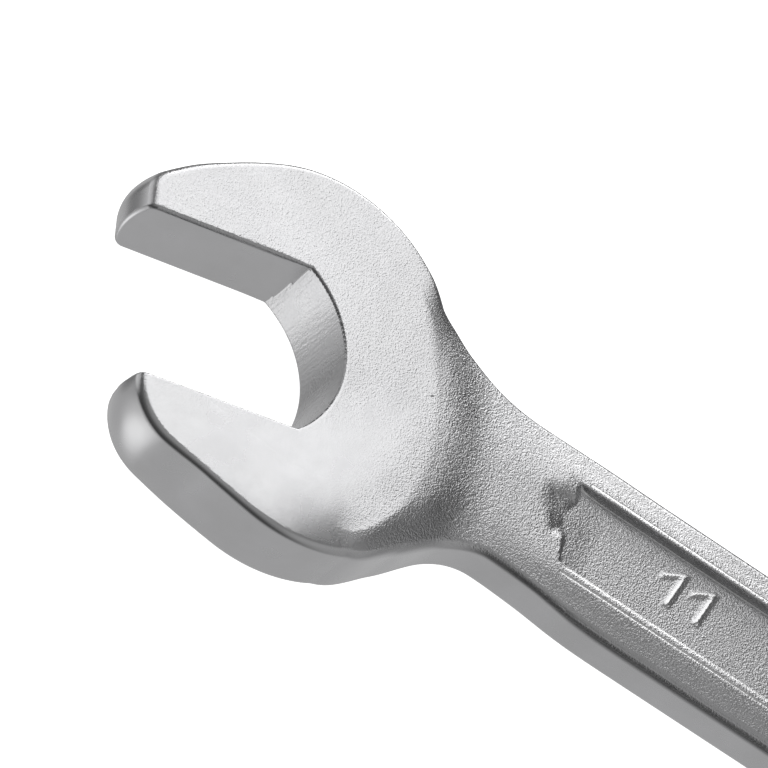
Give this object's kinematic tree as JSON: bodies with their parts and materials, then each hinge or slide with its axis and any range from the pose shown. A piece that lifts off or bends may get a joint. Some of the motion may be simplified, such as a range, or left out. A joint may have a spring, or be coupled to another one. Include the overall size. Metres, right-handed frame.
{
  "type": "combination wrench",
  "caption": "Combination wrench with an open jaw set at an angle, a panelled shank and a cranked twelve-point ring end, in satin chromed steel.",
  "frame": {"origin": "centre of a nut seated in the open jaw, on the head's mid-plane", "axes": "+X along the shank towards the ring, +Z along the seated nut's axis, out of the face with the size numerals"},
  "size_m": [0.1471, 0.0246, 0.0116],
  "materials": {
    "satin_chrome": "satin"
  },
  "bodies": {
    "root": {"open_end_head": "satin_chrome", "shank": "satin_chrome", "ring_head": "satin_chrome"}
  },
  "joints": []
}
